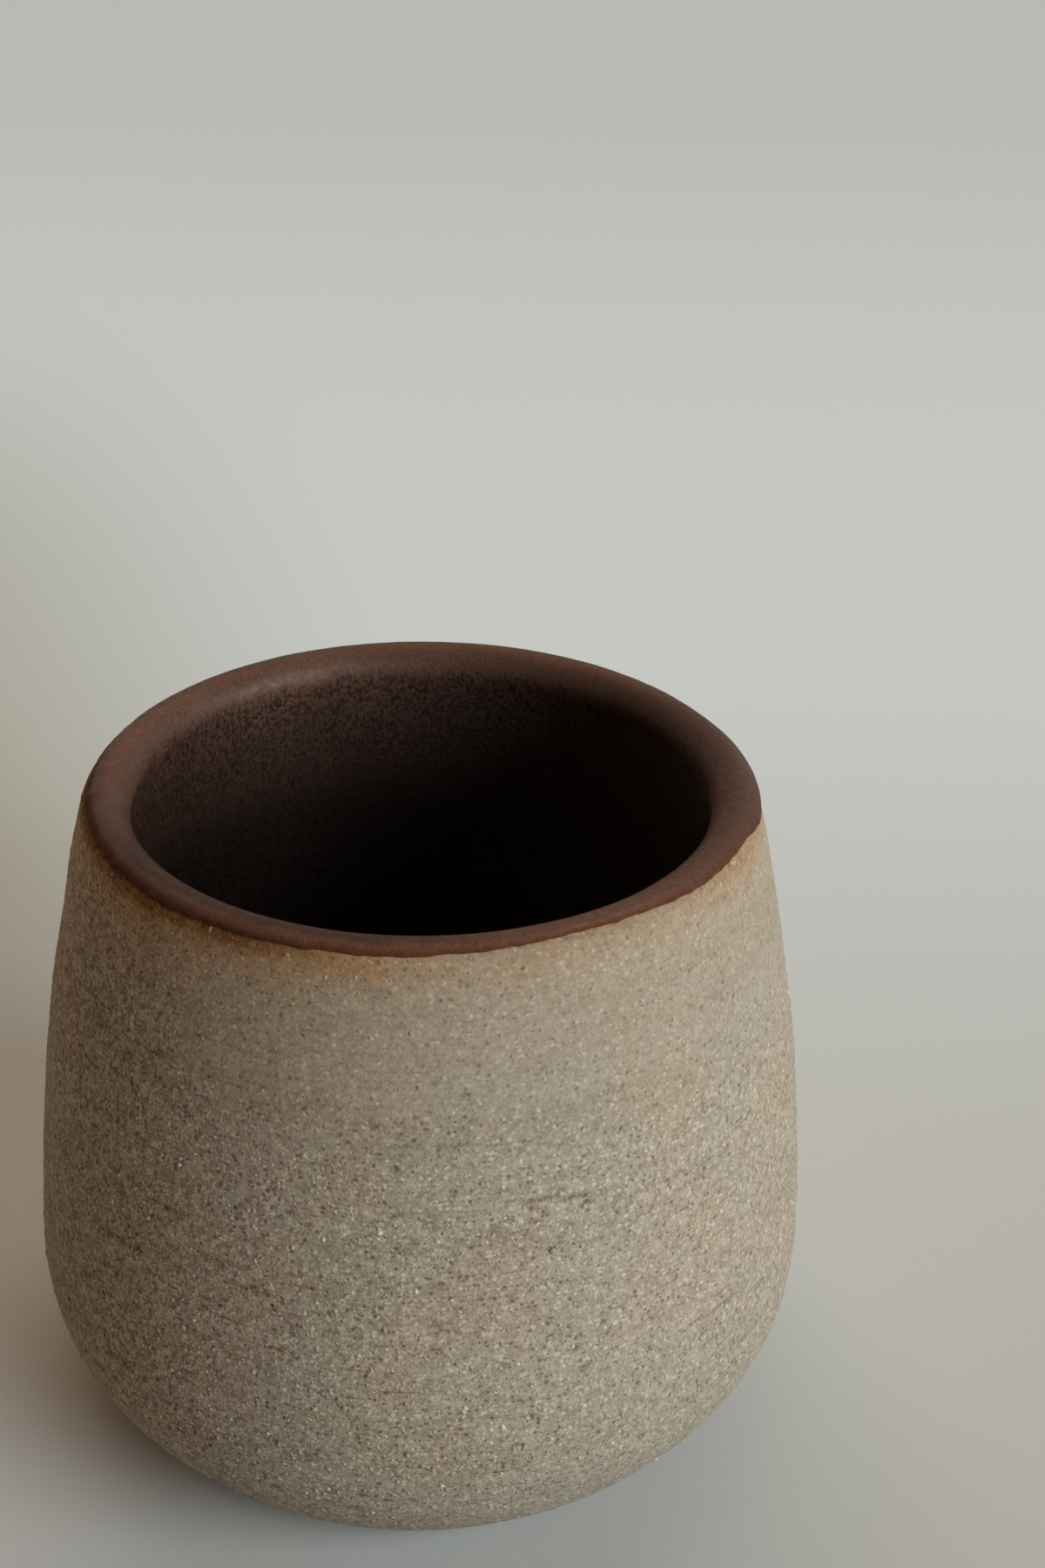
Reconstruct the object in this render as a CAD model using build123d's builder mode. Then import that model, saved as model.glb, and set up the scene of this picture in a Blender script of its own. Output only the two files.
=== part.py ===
"""Handleless cup of coarse grogged stoneware, glazed inside and over the lip.

The clay body is one thrown and trimmed piece. Two coats of glaze are fired onto it: a poured
lining inside, and a rim coat that laps the lining, covers the round lip and stops on its
outer shoulder. Units are millimetres and degrees. The origin is the centre of the foot on
the standing plane, with +Z along the axis of the throw.
"""

import os
from math import atan2, cos, degrees, radians, sin
from typing import NamedTuple

from build123d import *

# Outside of the clay
height = 78.0  # standing plane to the top of the glazed lip
belly_diameter = 91.0  # widest part of the body
belly_level = 20.0  # height of the widest part
rim_inset = 8.0  # lip's outer face in from the widest part
foot_inset = 15.0  # edge of the foot in from the widest part

# Thickness of the clay
lip_thickness = 5.0
belly_wall = 5.5
base_thickness = 5.5

# Inside of the clay
cavity_belly_rise = 2.0  # the widest part inside sits this far above the one outside
cavity_floor_inset = 17.0  # edge of the flat floor in from the widest part inside

# Run of the curves
corner_turn = 40.0  # turn of the small arc from floor to belly
wall_start_lean = 2.5  # lean of the wall where it leaves the belly

# Foot
foot_ring_width = 6.0
foot_recess_depth = 1.5
foot_recess_fillet = 0.6

# Glaze
lining_thickness = 0.4
rim_coat_thickness = 0.5
rim_coat_depth = 8.0  # top of the lip down to the rim coat's edge inside
rim_coat_shoulder = 48.0  # where the rim coat stops outside, above the lip's equator
rim_coat_edge_fillet = 0.2

# Largest fillet, as a share of the height or thickness that it rounds
fillet_limit = 0.45

# Worked out from the sizes above
belly_radius = belly_diameter / 2
foot_radius = belly_radius - foot_inset
lip_radius = lip_thickness / 2
lip_centre_radius = belly_radius - rim_inset - lip_radius
lip_centre_level = height - rim_coat_thickness - lip_radius
cavity_belly_radius = belly_radius - belly_wall
cavity_belly_level = belly_level + cavity_belly_rise
cavity_floor_radius = cavity_belly_radius - cavity_floor_inset
cavity_floor_level = foot_recess_depth + base_thickness
rim_coat_edge_level = height - rim_coat_depth


class Outline(NamedTuple):
    """Tangent arcs that run from a flat floor round the belly and up the wall to the lip."""

    floor_radius: float
    floor_level: float
    corner_arc: float
    belly_arc: float
    wall_arc: float
    lip_lean: float


def fair_outline(widest_radius, widest_level, floor_radius, floor_level, lip_reach):
    """Work out the arcs for one skin of the body.

    lip_reach is how far that skin lies outside the centre of the round lip, and is
    negative for a skin on the inner side of the wall.
    """
    inset = widest_radius - floor_radius
    rise = widest_level - floor_level
    turn_sin = sin(radians(corner_turn))
    turn_cos = cos(radians(corner_turn))
    share = turn_sin + turn_cos - 1
    corner_arc = (inset * turn_cos - rise * (1 - turn_sin)) / share
    belly_arc = (rise * turn_sin - inset * (1 - turn_cos)) / share

    start_x = cos(radians(wall_start_lean))
    start_z = sin(radians(wall_start_lean))
    belly_centre = widest_radius - belly_arc
    lip_x = lip_centre_radius - belly_centre
    lip_z = lip_centre_level - widest_level
    along = lip_x * start_x + lip_z * start_z
    apart = lip_x**2 + lip_z**2 + belly_arc**2 - lip_reach**2 - 2 * belly_arc * along
    wall_arc = apart / (2 * (belly_arc - lip_reach - along))

    wall_x = lip_x - (belly_arc - wall_arc) * start_x
    wall_z = lip_z - (belly_arc - wall_arc) * start_z
    lip_lean = degrees(atan2(wall_z, wall_x))
    return Outline(floor_radius, floor_level, corner_arc, belly_arc, wall_arc, lip_lean)


def cavity_outline(coat):
    """Outline of the inside, bare where coat is 0, or with a coat of glaze on it."""
    return fair_outline(
        cavity_belly_radius - coat,
        cavity_belly_level,
        cavity_floor_radius,
        cavity_floor_level + coat,
        -lip_radius - coat,
    )


def draw_outline(outline):
    """Draw an outline in the current sketch, from the edge of its floor to the lip."""
    floor_edge = (outline.floor_radius, outline.floor_level)
    corner = JernArc(floor_edge, (1, 0), outline.corner_arc, corner_turn)
    belly_turn = 90 - corner_turn + wall_start_lean
    belly = JernArc(corner @ 1, corner % 1, outline.belly_arc, belly_turn)
    wall_turn = outline.lip_lean - wall_start_lean
    return JernArc(belly @ 1, belly % 1, outline.wall_arc, wall_turn)


def draw_lip(radius, start_angle):
    """Draw the round of the lip from start_angle outside to the inner wall."""
    arc_size = 180 + cavity_outline(radius - lip_radius).lip_lean - start_angle
    return CenterArc((lip_centre_radius, lip_centre_level), radius, start_angle, arc_size)


def draw_coat(thickness):
    """Draw the section of a coat over the whole inside and the lip, to the outer shoulder."""
    bare = cavity_outline(0)
    coated = cavity_outline(thickness)
    draw_outline(bare)
    bare_lip = draw_lip(lip_radius, rim_coat_shoulder)
    coated_lip = draw_lip(lip_radius + thickness, rim_coat_shoulder)
    draw_outline(coated)
    Line(bare_lip @ 0, coated_lip @ 0)
    Polyline(
        (bare.floor_radius, bare.floor_level),
        (0, bare.floor_level),
        (0, coated.floor_level),
        (coated.floor_radius, coated.floor_level),
    )


os.makedirs("parts", exist_ok=True)

# Clay body: round lip, leaning wall, full belly and a trimmed foot with a shallow recess
with BuildPart() as clay_body:
    with BuildSketch(Plane.XZ):
        with BuildLine():
            outside = fair_outline(belly_radius, belly_level, foot_radius, 0, lip_radius)
            draw_outline(outside)
            draw_lip(lip_radius, outside.lip_lean)
            draw_outline(cavity_outline(0))
            recess_radius = foot_radius - foot_ring_width
            Polyline(
                (foot_radius, 0),
                (recess_radius, 0),
                (recess_radius, foot_recess_depth),
                (0, foot_recess_depth),
                (0, cavity_floor_level),
                (cavity_floor_radius, cavity_floor_level),
            )
        make_face()
    revolve(axis=Axis.Z)
    recess_wall = clay_body.faces().filter_by(GeomType.CYLINDER)
    recess_edges = recess_wall.edges().filter_by(GeomType.CIRCLE)
    fillet(recess_edges, min(foot_recess_fillet, fillet_limit * foot_recess_depth))
clay_body.part.label = "clay_body"

# Level at which the two coats meet, as a plane across their sections
coat_join = Plane.ZX.offset(rim_coat_edge_level)

# Glaze lining: the poured coat on the floor and wall inside, up to the rim coat
with BuildPart() as glaze_lining:
    with BuildSketch(Plane.XZ):
        with BuildLine():
            draw_coat(lining_thickness)
        make_face()
        split(bisect_by=coat_join, keep=Keep.BOTTOM)
    revolve(axis=Axis.Z)
glaze_lining.part.label = "glaze_lining"

# Glaze rim: the second coat, from the lining's edge over the lip to its outer shoulder
with BuildPart() as glaze_rim:
    with BuildSketch(Plane.XZ):
        with BuildLine():
            draw_coat(rim_coat_thickness)
        make_face()
        split(bisect_by=coat_join, keep=Keep.TOP)
    revolve(axis=Axis.Z)
    hoops = glaze_rim.edges().filter_by(lambda edge: edge.is_closed)
    shoulder_edge = hoops.sort_by(SortBy.RADIUS)[-1]
    fillet(shoulder_edge, min(rim_coat_edge_fillet, fillet_limit * rim_coat_thickness))
glaze_rim.part.label = "glaze_rim"

export_step(clay_body.part, "parts/clay_body.step")
export_step(glaze_lining.part, "parts/glaze_lining.step")
export_step(glaze_rim.part, "parts/glaze_rim.step")
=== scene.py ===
"""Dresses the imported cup: coarse grogged clay, a dark lining, a red-brown lip, floor, light and camera."""

import logging
from dataclasses import dataclass
from enum import Enum
from functools import reduce
from math import atan2, ceil, cos, hypot, pi, radians, sin, sqrt

import bpy
import numpy as np
from mathutils import Euler, Matrix, Vector


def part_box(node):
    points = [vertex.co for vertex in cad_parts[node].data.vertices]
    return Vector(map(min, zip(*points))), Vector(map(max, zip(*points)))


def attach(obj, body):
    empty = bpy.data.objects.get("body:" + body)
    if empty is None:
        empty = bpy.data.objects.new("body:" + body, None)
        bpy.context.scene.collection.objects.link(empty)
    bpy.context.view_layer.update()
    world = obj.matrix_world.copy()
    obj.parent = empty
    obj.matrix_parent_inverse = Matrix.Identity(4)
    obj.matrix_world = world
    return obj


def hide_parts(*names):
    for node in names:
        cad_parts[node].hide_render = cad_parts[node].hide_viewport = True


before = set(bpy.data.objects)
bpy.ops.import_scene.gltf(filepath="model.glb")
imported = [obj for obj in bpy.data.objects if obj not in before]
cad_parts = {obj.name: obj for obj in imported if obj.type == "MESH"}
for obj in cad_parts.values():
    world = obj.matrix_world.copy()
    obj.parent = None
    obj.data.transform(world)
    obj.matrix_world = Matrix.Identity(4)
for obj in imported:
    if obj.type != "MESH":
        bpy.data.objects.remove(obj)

log = logging.getLogger("cup")

MM = 0.001
BODY = "root"

Point = tuple[float, float]
Triple = tuple[float, float, float]
Socket = bpy.types.NodeSocket
Outputs = bpy.types.bpy_prop_collection
Value = float | Socket
Colour = Triple | Socket
Feed = Value | Colour


class Slot(Enum):
    """Material slots of the record."""

    CLAY = "grogged_clay"
    LINING = "lining_glaze"
    RIM = "rim_glaze"


@dataclass(frozen=True)
class Arc:
    """A round stretch of a section, in the plane of radius and height.

    Angles are in radians above the outward horizontal.
    """

    centre: Point
    radius: float
    start: float
    end: float

    def at(self, angle: float) -> Point:
        """Return the point of the circle at an angle."""
        return (
            self.centre[0] + self.radius * cos(angle),
            self.centre[1] + self.radius * sin(angle),
        )

    def points(self, spacing: float) -> list[Point]:
        """Divide the arc evenly.

        Args:
            spacing: largest distance between points, in metres.

        Returns:
            Points from start to end, both included.
        """
        count = max(1, ceil(abs(self.end - self.start) * self.radius / spacing))
        turn = (self.end - self.start) / count
        return [self.at(self.start + turn * step) for step in range(count + 1)]

    def passes(self, level: float) -> float:
        """Return the angle at which the arc's outer half passes a level."""
        rise = (level - self.centre[1]) / self.radius
        return atan2(rise, sqrt(1 - rise**2))


@dataclass(frozen=True)
class CupForm:
    """Sizes that the cup was thrown, trimmed and glazed to, in metres and radians."""

    height: float
    belly_radius: float
    rim_coat_thickness: float
    belly_level: float = 20.0 * MM
    rim_inset: float = 8.0 * MM
    foot_inset: float = 15.0 * MM
    lip_radius: float = 2.5 * MM
    belly_wall: float = 5.5 * MM
    base_thickness: float = 5.5 * MM
    cavity_belly_rise: float = 2.0 * MM
    cavity_floor_inset: float = 17.0 * MM
    corner_turn: float = radians(40.0)
    wall_start_lean: float = radians(2.5)
    foot_ring_width: float = 6.0 * MM
    foot_recess_depth: float = 1.5 * MM
    foot_recess_fillet: float = 0.6 * MM
    lining_thickness: float = 0.4 * MM
    rim_coat_depth: float = 8.0 * MM
    rim_coat_shoulder: float = radians(48.0)
    run: float = radians(44.0)
    run_azimuth: float = radians(4.0)
    run_breadth: float = radians(17.0)
    run_power: int = 4
    drawn: float = radians(20.0)
    drawn_azimuth: float = radians(-63.0)
    drawn_breadth: float = radians(23.0)
    drawn_power: int = 2

    @property
    def foot_radius(self) -> float:
        """Radius of the foot's edge on the standing plane."""
        return self.belly_radius - self.foot_inset

    @property
    def recess_radius(self) -> float:
        """Radius of the recess under the foot."""
        return self.foot_radius - self.foot_ring_width

    @property
    def lip_centre(self) -> Point:
        """Centre of the round lip."""
        return (
            self.belly_radius - self.rim_inset - self.lip_radius,
            self.height - self.rim_coat_thickness - self.lip_radius,
        )

    @property
    def cavity_floor_level(self) -> float:
        """Level of the bare clay floor inside."""
        return self.foot_recess_depth + self.base_thickness

    @property
    def coat_join_level(self) -> float:
        """Level inside at which the rim coat laps the lining."""
        return self.height - self.rim_coat_depth

    @property
    def glaze_edge_level(self) -> float:
        """Level outside at which the rim coat stops."""
        return self.lip_centre[1] + self.lip_radius * sin(self.rim_coat_shoulder)

    def edge_turn(self, azimuth: np.ndarray) -> np.ndarray:
        """Find where the rim coat ends, run down at one place and drawn back at another.

        Args:
            azimuth: directions about the axis of the throw.

        Returns:
            The turn about the lip's centre at each, above the outward horizontal.
        """
        run = np.exp(-(((azimuth - self.run_azimuth) / self.run_breadth) ** self.run_power))
        drawn = np.exp(-(((azimuth - self.drawn_azimuth) / self.drawn_breadth) ** self.drawn_power))
        return self.rim_coat_shoulder - self.run * run + self.drawn * drawn

    def skin(self, widest: Point, floor_edge: Point, lip_reach: float) -> list[Arc]:
        """Work out the tangent arcs of one skin, from its floor to the lip.

        Args:
            widest: radius and level of the widest place.
            floor_edge: radius and level of the edge of the flat floor.
            lip_reach: distance of the skin from the lip's centre, negative on the inner side.

        Returns:
            The corner, belly and wall arcs, in that order.
        """
        inset = widest[0] - floor_edge[0]
        rise = widest[1] - floor_edge[1]
        turn_sin = sin(self.corner_turn)
        turn_cos = cos(self.corner_turn)
        share = turn_sin + turn_cos - 1
        corner_radius = (inset * turn_cos - rise * (1 - turn_sin)) / share
        belly_radius = (rise * turn_sin - inset * (1 - turn_cos)) / share

        start = (cos(self.wall_start_lean), sin(self.wall_start_lean))
        belly_centre = (widest[0] - belly_radius, widest[1])
        lip = (self.lip_centre[0] - belly_centre[0], self.lip_centre[1] - belly_centre[1])
        along = lip[0] * start[0] + lip[1] * start[1]
        apart = hypot(*lip) ** 2 + belly_radius**2 - lip_reach**2 - 2 * belly_radius * along
        wall_radius = apart / (2 * (belly_radius - lip_reach - along))
        shift = belly_radius - wall_radius
        wall_centre = (belly_centre[0] + shift * start[0], belly_centre[1] + shift * start[1])
        lean = atan2(self.lip_centre[1] - wall_centre[1], self.lip_centre[0] - wall_centre[0])

        corner_end = self.corner_turn - pi / 2
        return [
            Arc((floor_edge[0], floor_edge[1] + corner_radius), corner_radius, -pi / 2, corner_end),
            Arc(belly_centre, belly_radius, corner_end, self.wall_start_lean),
            Arc(wall_centre, wall_radius, self.wall_start_lean, lean),
        ]

    def outside(self) -> list[Arc]:
        """Return the arcs of the outer skin."""
        widest = (self.belly_radius, self.belly_level)
        return self.skin(widest, (self.foot_radius, 0.0), self.lip_radius)

    def cavity(self, coat: float) -> list[Arc]:
        """Work out the inside from its floor to the lip.

        Args:
            coat: thickness of the glaze on it, 0 for the bare clay.

        Returns:
            The corner, belly and wall arcs, in that order.
        """
        cavity_radius = self.belly_radius - self.belly_wall
        widest = (cavity_radius - coat, self.belly_level + self.cavity_belly_rise)
        floor_edge = (cavity_radius - self.cavity_floor_inset, self.cavity_floor_level + coat)
        return self.skin(widest, floor_edge, -self.lip_radius - coat)

    def lip(self, coat: float, start: float) -> Arc:
        """Return the round of the lip under a coat, from an angle outside to the inner wall."""
        return Arc(self.lip_centre, self.lip_radius + coat, start, pi + self.cavity(coat)[-1].end)

    def inside(self, coat: float) -> list[Arc]:
        """Work out the inside from its floor up to the join of the two glazes.

        Args:
            coat: thickness of the glaze on it, 0 for the bare clay.

        Returns:
            The corner, belly and wall arcs, in that order.
        """
        arcs = self.cavity(coat)
        wall = arcs[-1]
        return arcs[:-1] + [Arc(wall.centre, wall.radius, wall.start, wall.passes(self.coat_join_level))]


def chain(arcs: list[Arc], spacing: float) -> list[Point]:
    """Join the points of arcs that follow each other, leaving out the doubles.

    Args:
        arcs: arcs from end to end.
        spacing: largest distance between points, in metres.

    Returns:
        Points from the first arc's start to the last one's end.
    """
    points = arcs[0].points(spacing)
    for arc in arcs[1:]:
        points += arc.points(spacing)[1:]
    return points


def level_run(start: float, end: float, level: float, spacing: float) -> list[Point]:
    """Return evenly spaced points of one level from a radius up to, not including, another."""
    count = max(1, ceil(abs(end - start) / spacing))
    return [(start + (end - start) * step / count, level) for step in range(count)]


@dataclass(frozen=True)
class Relief:
    """Cloudy unevenness: its size by axis, its height from lowest to highest, its levels of detail."""

    size: Triple
    depth: float
    octaves: int = 2


@dataclass
class TurnedPiece:
    """A piece whose section is drawn point by point and turned about the axis of the throw."""

    name: str
    form: CupForm
    piece: bpy.types.Object | None = None
    steps: int = 320
    weld: float = 0.005 * MM
    weight_steps: int = 20
    reliefs: tuple[Relief, ...] = ()

    def turn(self, section: list[Point]) -> None:
        """Draw a section as a run of extruded points and turn it once round.

        Args:
            section: points of radius and level; a closed section repeats its first point.
        """
        bpy.ops.object.select_all(action="DESELECT")
        bpy.ops.mesh.primitive_plane_add(size=MM)
        self.piece = bpy.context.object
        self.piece.name = self.name
        self.piece.data.name = self.name
        bpy.ops.object.mode_set(mode="EDIT")
        bpy.ops.mesh.select_all(action="SELECT")
        bpy.ops.mesh.merge(type="CENTER")
        bpy.ops.transform.translate(value=(section[0][0], 0.0, section[0][1]))
        for last, point in zip(section, section[1:]):
            step = (point[0] - last[0], 0.0, point[1] - last[1])
            bpy.ops.mesh.extrude_region_move(TRANSFORM_OT_translate={"value": step})
        bpy.ops.object.mode_set(mode="OBJECT")
        screw = self.piece.modifiers.new("turn", "SCREW")
        screw.axis = "Z"
        screw.angle = 2 * pi
        screw.steps = self.steps
        screw.render_steps = self.steps
        screw.use_merge_vertices = True
        screw.merge_threshold = self.weld
        bpy.ops.object.modifier_apply(modifier=screw.name)
        bpy.ops.object.mode_set(mode="EDIT")
        bpy.ops.mesh.select_all(action="SELECT")
        bpy.ops.mesh.remove_doubles(threshold=self.weld)
        bpy.ops.mesh.normals_make_consistent(inside=False)
        bpy.ops.object.mode_set(mode="OBJECT")
        bpy.ops.object.shade_smooth()

    def read(self, what: str) -> np.ndarray:
        """Read a property of the vertices.

        Args:
            what: "co" for their places, "normal" for their ways out.

        Returns:
            Rows of x, y and z.
        """
        vertices = self.piece.data.vertices
        found = np.empty(len(vertices) * 3)
        vertices.foreach_get(what, found)
        return found.reshape(-1, 3)

    def move_to(self, places: np.ndarray) -> None:
        """Put the vertices at new places."""
        self.piece.data.vertices.foreach_set("co", places.ravel())
        self.piece.data.update()

    def note(self, attribute: str, values: np.ndarray) -> None:
        """Store a number for each vertex, for the finish to read."""
        layer = self.piece.data.attributes.new(attribute, "FLOAT", "POINT")
        layer.data.foreach_set("value", values)

    def roughen(self, group: str, weights: np.ndarray) -> None:
        """Raise and sink the surface by the piece's reliefs, and apply them.

        Args:
            group: name for the vertex group that they act on.
            weights: how much they act on each vertex, from 0 to 1.
        """
        layer = self.piece.vertex_groups.new(name=group)
        parts = np.round(weights * self.weight_steps).astype(int)
        for part in range(1, self.weight_steps + 1):
            layer.add(np.flatnonzero(parts == part).tolist(), part / self.weight_steps, "REPLACE")
        for relief in self.reliefs:
            self.displace(relief, group)

    def displace(self, relief: Relief, group: str) -> None:
        """Raise and sink the surface by one relief.

        Args:
            relief: size and height of the pattern.
            group: vertex group that it acts on.
        """
        pattern = bpy.data.textures.new(f"{self.name}_relief", "CLOUDS")
        pattern.noise_scale = 1.0
        pattern.noise_depth = relief.octaves
        bpy.ops.object.select_all(action="DESELECT")
        bpy.ops.object.empty_add(location=(0, 0, 0))
        stretch = bpy.context.object
        stretch.scale = relief.size
        bpy.context.view_layer.update()
        bpy.context.view_layer.objects.active = self.piece
        self.piece.select_set(True)
        modifier = self.piece.modifiers.new("relief", "DISPLACE")
        modifier.texture = pattern
        modifier.texture_coords = "OBJECT"
        modifier.texture_coords_object = stretch
        modifier.strength = relief.depth
        modifier.vertex_group = group
        bpy.ops.object.modifier_apply(modifier=modifier.name)
        bpy.data.objects.remove(stretch)
        bpy.data.textures.remove(pattern)

    def present(self, slot: Slot, finish: bpy.types.Material, node: str) -> None:
        """Dress the piece and let it stand for its node.

        Args:
            slot: the record's slot for its material; not used.
            finish: the material that it wears.
            node: the node that it replaces.
        """
        self.piece.data.materials.clear()
        self.piece.data.materials.append(finish)
        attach(self.piece, BODY)
        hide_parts(node)
        log.info("%s: %d vertices", self.name, len(self.piece.data.vertices))


@dataclass(frozen=True)
class Fade:
    """An eased change from one value to another, held before its start and after its end."""

    start: Value
    end: Value
    before: Value = 0.0
    after: Value = 1.0


@dataclass(frozen=True)
class Cloud:
    """Cloudy noise: clouds to the metre, detail, harshness, and how far it sways what it moves.

    A stretch by axis and a turn draw the clouds out.
    """

    scale: float
    detail: float = 2.0
    harsh: float = 0.5
    amount: float = 1.0
    stretch: Triple | None = None
    turn: Triple = (0.0, 0.0, 0.0)


@dataclass(frozen=True)
class Specks:
    """Scattered round specks: cells to the metre, share of cells that hold one, and radii in cells."""

    scale: float
    chosen: float
    reach: float
    smallest: float = 0.55
    core: float = 0.45


class Shader:
    """A material under construction, with short calls for the nodes that the finishes share."""

    def __init__(self, name: str) -> None:
        """Make an empty material with its surface shader.

        Args:
            name: name of the material.
        """
        self.material = bpy.data.materials.new(name)
        self.material.use_nodes = True
        self.tree = self.material.node_tree
        self.tree.nodes.clear()
        self.surface = self.tree.nodes.new("ShaderNodeBsdfPrincipled")
        output = self.tree.nodes.new("ShaderNodeOutputMaterial")
        self.tree.links.new(self.surface.outputs["BSDF"], output.inputs["Surface"])
        self.place = self.add("ShaderNodeTexCoord")["Object"]
        parts = self.add("ShaderNodeSeparateXYZ", {"Vector": self.place})
        self.x, self.y, self.level = parts["X"], parts["Y"], parts["Z"]

    def add(self, kind: str, inputs: dict[str | int, Feed] | None = None, **settings: str) -> Outputs:
        """Add a node.

        Args:
            kind: type of the node.
            inputs: what its inputs are fed with, by name or number.
            settings: values of its properties.

        Returns:
            The node's outputs.
        """
        made = self.tree.nodes.new(kind)
        for name, value in settings.items():
            setattr(made, name, value)
        for name, value in (inputs or {}).items():
            self.feed(made.inputs[name], value)
        return made.outputs

    def feed(self, socket: Socket, value: Feed) -> None:
        """Link an input to an output, or set its value.

        Args:
            socket: input to feed.
            value: output to link, or number, colour or vector to set.
        """
        if isinstance(value, Socket):
            self.tree.links.new(value, socket)
        elif socket.type == "RGBA":
            socket.default_value = (*value, 1.0)
        else:
            socket.default_value = value

    def set(self, **values: Feed) -> None:
        """Feed the surface shader's own sockets, named with underscores for spaces."""
        for name, value in values.items():
            self.feed(self.surface.inputs[name.replace("_", " ")], value)

    def math(self, operation: str, first: Value, second: Value = 0.0) -> Socket:
        """Return the result of a sum on one or two numbers."""
        return self.add("ShaderNodeMath", {0: first, 1: second}, operation=operation)[0]

    def plus(self, *values: Value) -> Socket:
        """Return the sum of numbers."""
        return reduce(lambda done, value: self.math("ADD", done, value), values)

    def times(self, *values: Value) -> Socket:
        """Return the product of numbers."""
        return reduce(lambda done, value: self.math("MULTIPLY", done, value), values)

    def radius(self) -> Socket:
        """Return the distance from the axis of the throw."""
        squares = [self.math("POWER", side, 2.0) for side in (self.x, self.y)]
        return self.math("SQRT", self.plus(*squares))

    def noise(self, cloud: Cloud) -> Socket:
        """Lay out cloudy noise.

        Args:
            cloud: size and character of the noise.

        Returns:
            The noise, about 0.5.
        """
        place = self.place
        if cloud.stretch:
            drawn = {"Vector": place, "Scale": cloud.stretch, "Rotation": cloud.turn}
            place = self.add("ShaderNodeMapping", drawn)["Vector"]
        fed = {"Vector": place, "Scale": cloud.scale, "Detail": cloud.detail, "Roughness": cloud.harsh}
        return self.add("ShaderNodeTexNoise", fed, noise_dimensions="3D")["Fac"]

    def sway(self, value: Socket, amount: float) -> Socket:
        """Return a value's distance from 0.5, times an amount."""
        return self.times(self.math("SUBTRACT", value, 0.5), amount)

    def drift(self, cloud: Cloud) -> Socket:
        """Return how far a noise sways what it moves."""
        return self.sway(self.noise(cloud), cloud.amount)

    def fade(self, value: Value, fade: Fade) -> Socket:
        """Return a value eased along a fade."""
        fed = dict(enumerate((value, fade.start, fade.end, fade.before, fade.after)))
        return self.add("ShaderNodeMapRange", fed, interpolation_type="SMOOTHSTEP")["Result"]

    def mask(self, *faded: tuple[Value, Fade]) -> Socket:
        """Return the product of values, each eased along its own fade."""
        return self.times(*(self.fade(value, fade) for value, fade in faded))

    def mix(self, share: Value, first: Colour, second: Colour, blend: str = "MIX") -> Socket:
        """Lay one colour over another.

        Args:
            share: how much of the second shows.
            first: colour beneath.
            second: colour on top.
            blend: way in which the two mix.

        Returns:
            The mixed colour.
        """
        made = self.tree.nodes.new("ShaderNodeMix")
        made.data_type = "RGBA"
        made.blend_type = blend
        colours = [socket for socket in made.inputs if socket.type == "RGBA"]
        for socket, value in zip((made.inputs["Factor"], *colours), (share, first, second)):
            self.feed(socket, value)
        return next(socket for socket in made.outputs if socket.type == "RGBA")

    def tint(self, share: Value, colour: Socket, tint: Triple) -> Socket:
        """Return a colour multiplied by a tint, by a share."""
        return self.mix(share, colour, tint, "MULTIPLY")

    def ramp(self, value: Value, stops: list[tuple[float, Triple]]) -> Socket:
        """Pick a colour along a run of stops.

        Args:
            value: place on the run.
            stops: places from 0 to 1, with the colour at each.

        Returns:
            The colour.
        """
        made = self.tree.nodes.new("ShaderNodeValToRGB")
        band = made.color_ramp
        while len(band.elements) < len(stops):
            band.elements.new(1.0)
        for element, (place, colour) in zip(band.elements, stops):
            element.position = place
            element.color = (*colour, 1.0)
        self.feed(made.inputs["Fac"], value)
        return made.outputs["Color"]

    def specks(self, specks: Specks) -> tuple[Socket, Socket]:
        """Scatter round specks.

        Args:
            specks: their spacing, number and sizes.

        Returns:
            Where they lie, from 0 to 1, and a random number for each.
        """
        fed = {"Vector": self.place, "Scale": specks.scale}
        cells = self.add("ShaderNodeTexVoronoi", fed, voronoi_dimensions="3D", feature="F1")
        parts = self.add("ShaderNodeSeparateColor", {"Color": cells["Color"]})
        held = self.math("LESS_THAN", parts["Red"], specks.chosen)
        edge = self.times(self.fade(parts["Green"], Fade(0.0, 1.0, specks.smallest)), specks.reach)
        disc = self.fade(cells["Distance"], Fade(self.times(edge, specks.core), edge, 1.0, 0.0))
        return self.times(held, disc), parts["Blue"]

    def noted(self, attribute: str) -> Socket:
        """Return a number that the mesh holds for each vertex."""
        return self.add("ShaderNodeAttribute", attribute_name=attribute)["Fac"]

    def bump(self, height: Socket, distance: float, strength: Value) -> None:
        """Let a height in 0..1 raise the surface's shading by a distance in metres."""
        fed = {"Height": height, "Distance": distance, "Strength": strength}
        self.set(Normal=self.add("ShaderNodeBump", fed)["Normal"])


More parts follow.
